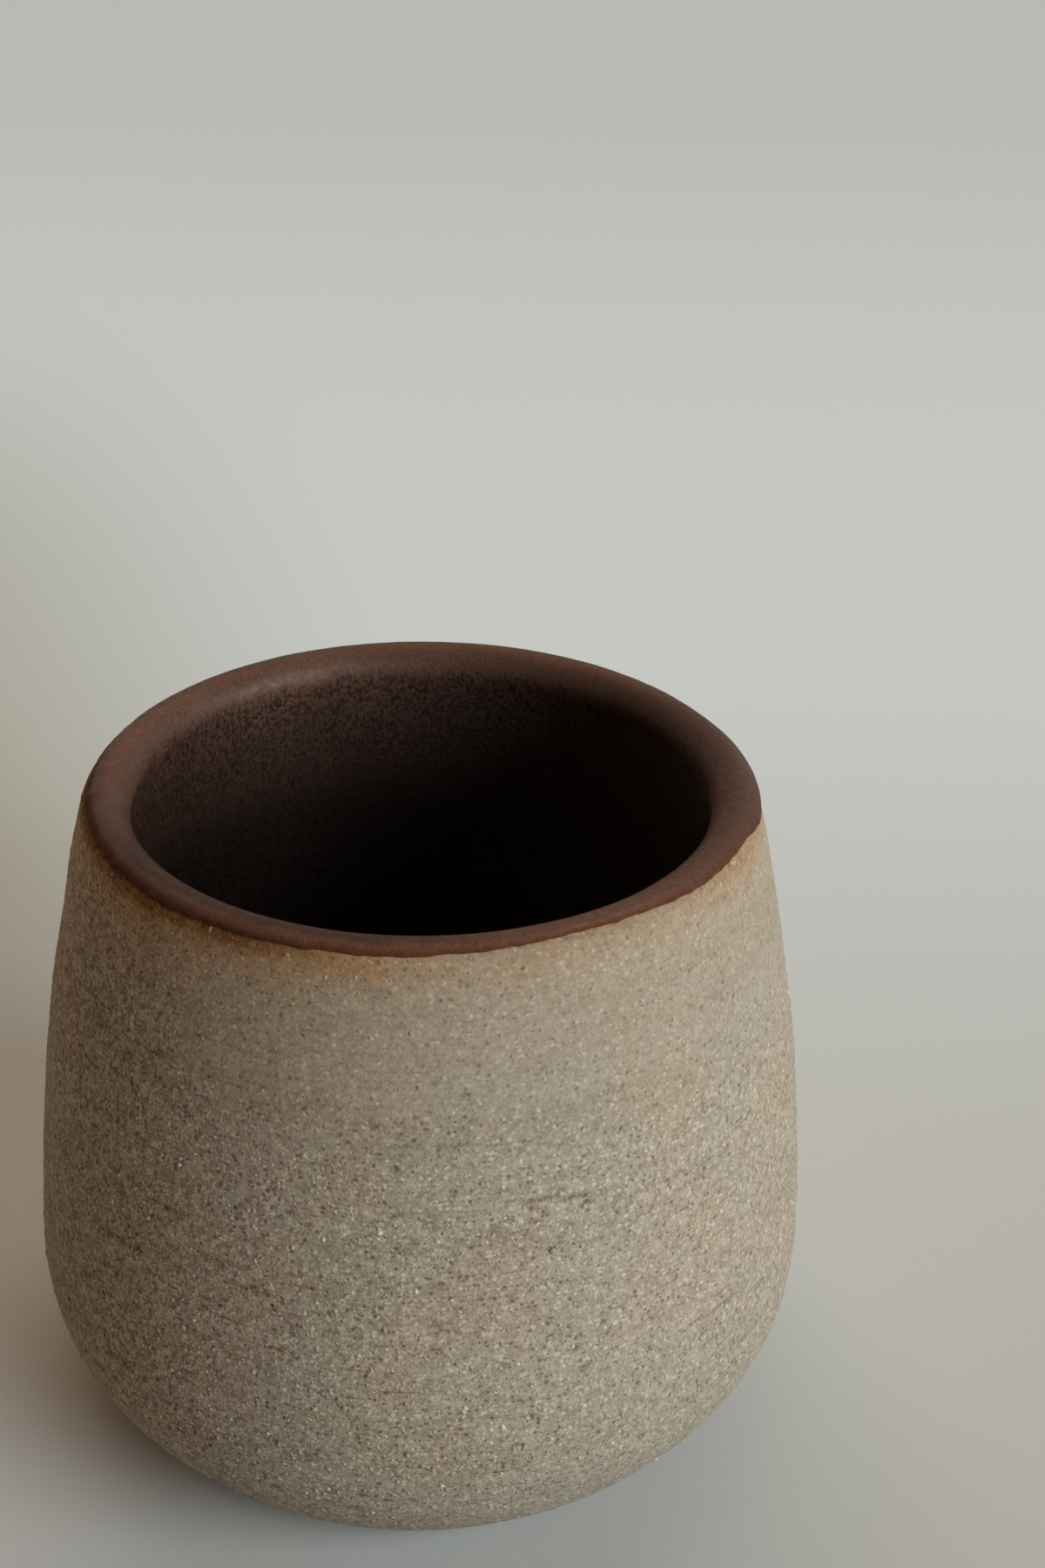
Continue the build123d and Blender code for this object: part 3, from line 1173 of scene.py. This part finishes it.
@dataclass
class RimCoat(TurnedPiece):
    """The second glaze, over the lip, feathered out at an uneven lower edge."""

    steps: int = 560
    spacing: float = 0.22 * MM
    wall_spacing: float = 0.45 * MM
    hidden_spacing: float = 1.2 * MM
    feather: float = 0.04 * MM
    tuck: float = 0.6 * MM
    lap_share: float = 0.95
    lip_fade: float = 3.0 * MM
    full_turn: float = radians(84.0)
    wander: float = radians(3.2)
    waves: tuple[Triple, ...] = (
        (3, 0.6, 0.4),
        (7, 0.4, 2.1),
        (19, 0.35, 4.0),
        (43, 0.25, 1.0),
        (71, 0.2, 3.3),
        (113, 0.12, 0.7),
    )
    ragged: float = radians(2.2)
    tears: int = 230
    seed: int = 11
    reliefs: tuple[Relief, ...] = (
        Relief((10 * MM, 10 * MM, 10 * MM), 0.10 * MM),
        Relief((1.6 * MM, 1.6 * MM, 1.6 * MM), 0.03 * MM),
    )

    def build(self) -> None:
        """Turn the coat's section and let its outer edge wander."""
        self.turn(self.section())
        self.wave()
        level = self.read("co")[:, 2]
        self.roughen("lip", np.clip((level - self.form.coat_join_level) / self.lip_fade, 0, 1))

    def section(self) -> list[Point]:
        """Draw the closed section of the coat.

        Returns:
            Points from its edge outside, over the lip and back under.
        """
        form = self.form
        coat = form.rim_coat_thickness
        shoulder = form.rim_coat_shoulder
        under = form.lip(0.0, shoulder)
        count = ceil((self.full_turn - shoulder) * form.lip_radius / self.spacing)
        rising = []
        for step in range(count):
            share = step / count
            thick = self.feather + (coat - self.feather) * sin(share * pi / 2)
            turn = shoulder + (self.full_turn - shoulder) * share
            rising.append(Arc(form.lip_centre, form.lip_radius + thick, 0.0, 0.0).at(turn))
        over = form.lip(coat, self.full_turn)
        front = self.down_to_join(form.cavity(coat)[-1], coat - self.lap_share * form.lining_thickness)
        back = self.down_to_join(form.cavity(0.0)[-1], 0.0)
        tail = form.cavity(self.feather)[-1]
        tucked = tail.at(tail.passes(form.coat_join_level - self.tuck))
        first = under.at(shoulder)
        return (
            [first]
            + rising
            + over.points(self.spacing)
            + front[1:]
            + [tucked]
            + back[::-1]
            + under.points(self.hidden_spacing)[::-1][1:-1]
            + [first]
        )

    def down_to_join(self, wall: Arc, thinned: float) -> list[Point]:
        """Draw one side of the coat from the lip to the lining's edge.

        Args:
            wall: arc that it follows.
            thinned: how far it draws back towards the clay on the way, in metres.

        Returns:
            Points from the lip down.
        """
        level = self.form.coat_join_level
        points = Arc(wall.centre, wall.radius, wall.end, wall.passes(level)).points(self.wall_spacing)
        top = points[0][1]
        shares = [(top - z) / (top - level) for _, z in points]
        return [(r + thinned * share**2 * (3 - 2 * share), z) for share, (r, z) in zip(shares, points)]

    def wave(self) -> None:
        """Shift the outer edge up and down along the lip."""
        form = self.form
        places = self.read("co")
        angle = np.arctan2(places[:, 1], places[:, 0])
        across = np.hypot(places[:, 0], places[:, 1]) - form.lip_centre[0]
        up = places[:, 2] - form.lip_centre[1]
        turn = np.arctan2(up, across)
        reach = np.hypot(across, up)
        near = np.clip((self.full_turn - turn) / (self.full_turn - form.rim_coat_shoulder), 0, 1)
        near = np.where(turn > 0, near, 0)
        lift = self.wander * sum(size * np.sin(count * angle + phase) for count, size, phase in self.waves)
        around = np.linspace(-pi, pi, self.tears + 1)
        torn = np.random.default_rng(self.seed).uniform(-1, 1, self.tears + 1)
        lift += self.ragged * np.interp(angle, around, torn)
        lift += form.edge_turn(angle) - form.rim_coat_shoulder
        self.note("edge", near)
        turn += near * lift
        radius = form.lip_centre[0] + reach * np.cos(turn)
        level = form.lip_centre[1] + reach * np.sin(turn)
        self.move_to(np.stack([radius * np.cos(angle), radius * np.sin(angle), level], axis=1))


@dataclass
class Lining(TurnedPiece):
    """The poured glaze on the wall and floor inside."""

    spacing: float = 1.0 * MM
    floor_spacing: float = 1.5 * MM
    hidden_spacing: float = 5.0 * MM
    lap: float = 1.5 * MM
    lap_steps: int = 3
    lap_thinning: float = 0.8
    join_fade: float = 4.0 * MM
    middle_fade: float = 6.0 * MM
    reliefs: tuple[Relief, ...] = (
        Relief((70 * MM, 70 * MM, 4 * MM), 0.20 * MM, 1),
        Relief((5 * MM, 5 * MM, 5 * MM), 0.05 * MM),
    )

    def build(self) -> None:
        """Turn the lining's section and give it faint throwing rings."""
        self.turn(self.section())
        places = self.read("co")
        radius = np.hypot(places[:, 0], places[:, 1])
        join = np.clip((self.form.coat_join_level - places[:, 2]) / self.join_fade, 0, 1)
        self.roughen("wetted", join * np.clip(radius / self.middle_fade, 0, 1))

    def section(self) -> list[Point]:
        """Draw the section of the lining.

        Returns:
            Points from the axis on top to the axis beneath.
        """
        form = self.form
        coat = form.lining_thickness
        face = chain(form.inside(coat), self.spacing)
        back = chain(form.inside(0.0), self.hidden_spacing)
        middle = level_run(0.0, face[0][0], form.cavity_floor_level + coat, self.floor_spacing)
        lapped = []
        for step in range(1, self.lap_steps + 1):
            share = step / self.lap_steps
            wall = form.cavity(coat * (1 - self.lap_thinning * share**2))[-1]
            lapped.append(wall.at(wall.passes(form.coat_join_level + share * self.lap)))
        return middle + face + lapped + back[::-1] + [(0.0, form.cavity_floor_level)]


@dataclass(frozen=True)
class GrogScatter:
    """Grains of grog bedded in the bare clay, as one piece; lengths in metres, shares of a grain's size."""

    name: str
    count: int
    smallest: float
    largest: float
    seed: int
    jag: float = 0.20
    small_bias: float = 2.0
    pale_bias: float = 1.2
    lengths: Point = (0.85, 1.3)
    heights: Point = (0.45, 0.8)
    depths: Point = (0.35, 0.8)
    sink_levels: tuple[float, ...] = (0.0, 8 * MM, 16 * MM, 40 * MM, 46 * MM, 66 * MM)
    sink_shares: tuple[float, ...] = (0.50, 0.0, -0.12, 0.0, 0.0, 0.18)
    crowd_levels: tuple[float, ...] = (10 * MM, 20 * MM, 50 * MM, 66 * MM, 75 * MM)
    crowd_shares: tuple[float, ...] = (0.9, 1.1, 1.0, 0.55, 0.6)
    barest: float = 0.05
    steepest: float = 0.9

    def pattern(self) -> tuple[np.ndarray, np.ndarray]:
        """Model one rough grain.

        Returns:
            Its vertices and its faces.
        """
        bpy.ops.object.select_all(action="DESELECT")
        bpy.ops.mesh.primitive_ico_sphere_add(subdivisions=1, radius=1.0)
        grain = bpy.context.object
        bpy.ops.object.mode_set(mode="EDIT")
        bpy.ops.mesh.select_all(action="SELECT")
        bpy.ops.transform.vertex_random(offset=self.jag, seed=self.seed)
        bpy.ops.object.mode_set(mode="OBJECT")
        places = np.array([vertex.co for vertex in grain.data.vertices])
        faces = np.array([list(face.vertices) for face in grain.data.polygons])
        bpy.data.meshes.remove(grain.data)
        return places, faces

    def spots(self, clay: ClayBody, rng: np.random.Generator) -> tuple[np.ndarray, np.ndarray]:
        """Pick places on the bare clay at random.

        Args:
            clay: the finished clay.
            rng: source of the random numbers.

        Returns:
            The places, and the way out of the clay at each.
        """
        mesh = clay.piece.data
        mesh.calc_loop_triangles()
        rows = np.empty(len(mesh.loop_triangles) * 3, dtype=int)
        mesh.loop_triangles.foreach_get("vertices", rows)
        rows = rows.reshape(-1, 3)
        places = clay.read("co")
        bare = clay.bareness(places)[rows].min(axis=1)
        corners = places[rows]
        across = np.cross(corners[:, 1] - corners[:, 0], corners[:, 2] - corners[:, 0])
        area = np.linalg.norm(across, axis=1)
        crowd = np.interp(corners[:, 0, 2], self.crowd_levels, self.crowd_shares)
        likely = area * crowd * (bare > self.barest)
        picked = rng.choice(len(rows), self.count, p=likely / likely.sum())
        share = rng.dirichlet((1.0, 1.0, 1.0), self.count)
        spots = (corners[picked] * share[:, :, None]).sum(axis=1)
        return spots, across[picked] / area[picked][:, None]

    def bed(self, clay: ClayBody, shape: np.ndarray, rng: np.random.Generator) -> np.ndarray:
        """Bed copies of the grain into the bare clay.

        Args:
            clay: the finished clay.
            shape: vertices of the grain.
            rng: source of the random numbers.

        Returns:
            The vertices of all the copies, as rows of x, y and z.
        """
        spots, ways = self.spots(clay, rng)
        each = (self.count, 1)
        level_way = np.abs(ways[:, 2:]) < self.steepest
        side = np.cross(ways, np.where(level_way, [[0, 0, 1.0]], [[1.0, 0, 0]]))
        side /= np.linalg.norm(side, axis=1)[:, None]
        spin = rng.uniform(0, 2 * pi, each)
        first = side * np.cos(spin) + np.cross(ways, side) * np.sin(spin)
        second = np.cross(ways, first)
        size = self.smallest + (self.largest - self.smallest) * rng.random(each) ** self.small_bias
        long = size * rng.uniform(*self.lengths, each)
        high = size * rng.uniform(*self.heights, each)
        sunk = rng.uniform(*self.depths, each)
        sunk += np.interp(spots[:, 2:], self.sink_levels, self.sink_shares)
        places = (spots - ways * high * sunk)[:, None, :]
        for axis, arm in enumerate((first * long, second * size, ways * high)):
            places = places + shape[None, :, axis:axis + 1] * arm[:, None, :]
        return places.reshape(-1, 3)

    def build(self, clay: ClayBody) -> None:
        """Make the grains one piece that rides with the clay.

        Args:
            clay: the finished clay.
        """
        rng = np.random.default_rng(self.seed)
        shape, faces = self.pattern()
        places = self.bed(clay, shape, rng)
        corners = (faces[None] + np.arange(self.count)[:, None, None] * len(shape)).reshape(-1, 3)
        mesh = bpy.data.meshes.new(self.name)
        mesh.from_pydata(places, [], corners)
        tone = mesh.attributes.new("tone", "FLOAT", "POINT")
        tone.data.foreach_set("value", np.repeat(rng.random(self.count) ** self.pale_bias, len(shape)))
        mesh.polygons.foreach_set("use_smooth", np.ones(len(mesh.polygons), dtype=bool))
        mesh.update()
        piece = bpy.data.objects.new(self.name, mesh)
        bpy.context.collection.objects.link(piece)
        mesh.materials.append(GrogGrain().material(clay.form))
        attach(piece, BODY)
        log.info("%s: %d grains", self.name, self.count)


@dataclass(frozen=True)
class Daylight:
    """Soft light from far away, by azimuth and height of its middle, breadth, strength and colour."""

    name: str
    azimuth: float
    height: float
    breadth: float
    strength: float
    colour: Triple
    mirrored: bool = True

    def shine(self) -> None:
        """Hang the lamp."""
        data = bpy.data.lights.new(self.name, "SUN")
        data.angle = self.breadth
        data.energy = self.strength
        data.color = self.colour
        lamp = bpy.data.objects.new(self.name, data)
        bpy.context.collection.objects.link(lamp)
        lamp.visible_glossy = self.mirrored
        flat = cos(self.height)
        away = Vector((flat * cos(self.azimuth), flat * sin(self.azimuth), sin(self.height)))
        lamp.rotation_euler = away.to_track_quat("Z", "Y").to_euler()


@dataclass(frozen=True)
class Studio:
    """Pale floor, window light from the right, a bright backdrop, a warm wall and room, and the camera."""

    floor_size: float = 12.0
    lamps: tuple[Daylight, ...] = (
        Daylight("window", radians(-30), radians(17), radians(44), 3.78, (0.85, 1.0, 1.09)),
        Daylight("backdrop", radians(85), radians(32), radians(80), 1.50, (1.0, 0.94, 0.84), False),
        Daylight("warm_wall", radians(150), radians(35), radians(70), 0.17, (1.0, 0.50, 0.08), False),
    )
    room_strength: float = 0.075
    room_colour: Triple = (1.0, 0.60, 0.30)
    haze_colour: Triple = (0.42, 0.41, 0.385)
    haze_rays: tuple[str, ...] = ("Is Camera Ray", "Is Glossy Ray", "Is Transmission Ray")
    camera_place: Triple = (11.09 * MM, -213.34 * MM, 189.14 * MM)
    camera_pitch: float = radians(27.76)
    camera_roll: float = radians(1.225)
    camera_nearest: float = 10 * MM
    lens: float = 50.0
    film: float = 36.0

    def build(self) -> None:
        """Lay the floor, light the room and set the camera."""
        self.lay_floor()
        for lamp in self.lamps:
            lamp.shine()
        self.room()
        self.camera()

    def lay_floor(self) -> None:
        """Lay the floor under the foot."""
        bpy.ops.object.select_all(action="DESELECT")
        bpy.ops.mesh.primitive_plane_add(size=self.floor_size)
        floor = bpy.context.object
        floor.name = "floor"
        floor.data.materials.append(PaleFloor().material())

    def room(self) -> None:
        """Fill the shadows with the faint warm light of a room, and end the floor in a pale haze."""
        world = bpy.data.worlds.new("room")
        world.use_nodes = True
        tree = world.node_tree
        ground = tree.nodes["Background"]
        ground.inputs["Color"].default_value = (*self.room_colour, 1.0)
        ground.inputs["Strength"].default_value = self.room_strength
        haze = tree.nodes.new("ShaderNodeBackground")
        haze.inputs["Color"].default_value = (*self.haze_colour, 1.0)
        path = tree.nodes.new("ShaderNodeLightPath").outputs
        seen = path[self.haze_rays[0]]
        for ray in self.haze_rays[1:]:
            either = tree.nodes.new("ShaderNodeMath")
            either.operation = "MAXIMUM"
            tree.links.new(seen, either.inputs[0])
            tree.links.new(path[ray], either.inputs[1])
            seen = either.outputs[0]
        shown = tree.nodes.new("ShaderNodeMixShader")
        tree.links.new(seen, shown.inputs["Fac"])
        tree.links.new(ground.outputs["Background"], shown.inputs[1])
        tree.links.new(haze.outputs["Background"], shown.inputs[2])
        tree.links.new(shown.outputs["Shader"], tree.nodes["World Output"].inputs["Surface"])
        bpy.context.scene.world = world

    def camera(self) -> None:
        """Set the camera at the photograph's place, pitch, roll and lens."""
        data = bpy.data.cameras.new("camera")
        data.sensor_fit = "VERTICAL"
        data.sensor_height = self.film
        data.lens = self.lens
        data.clip_start = self.camera_nearest
        camera = bpy.data.objects.new("camera", data)
        bpy.context.collection.objects.link(camera)
        pitch = Euler((pi / 2 - self.camera_pitch, 0.0, 0.0)).to_matrix().to_4x4()
        roll = Matrix.Rotation(self.camera_roll, 4, "Z")
        camera.matrix_world = Matrix.Translation(self.camera_place) @ pitch @ roll
        bpy.context.scene.camera = camera


def main() -> None:
    """Build the pieces in order, dress them, and set the stage."""
    logging.basicConfig(level=logging.INFO, format="%(name)s %(message)s")
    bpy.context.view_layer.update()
    rim_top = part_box("glaze_rim")[1][2]
    clay_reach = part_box("clay_body")[1]
    form = CupForm(height=rim_top, belly_radius=clay_reach[0], rim_coat_thickness=rim_top - clay_reach[2])

    clay = ClayBody("thrown_clay", form)
    clay.build()
    clay.present(Slot.CLAY, GroggedClay().material(form), "clay_body")
    GrogScatter("grog_coarse", count=4200, smallest=0.21 * MM, largest=0.40 * MM, seed=23).build(clay)
    GrogScatter("grog_fine", count=9000, smallest=0.13 * MM, largest=0.22 * MM, seed=31).build(clay)
    lining = Lining("dark_lining", form)
    lining.build()
    lining.present(Slot.LINING, IronGlaze().material("lining_glaze", form), "glaze_lining")
    rim = RimCoat("rim_coat", form)
    rim.build()
    rim.present(Slot.RIM, IronGlaze().material("rim_glaze", form), "glaze_rim")
    Studio().build()

    bpy.context.scene.view_settings.view_transform = "Standard"


if __name__ == "__main__":
    main()
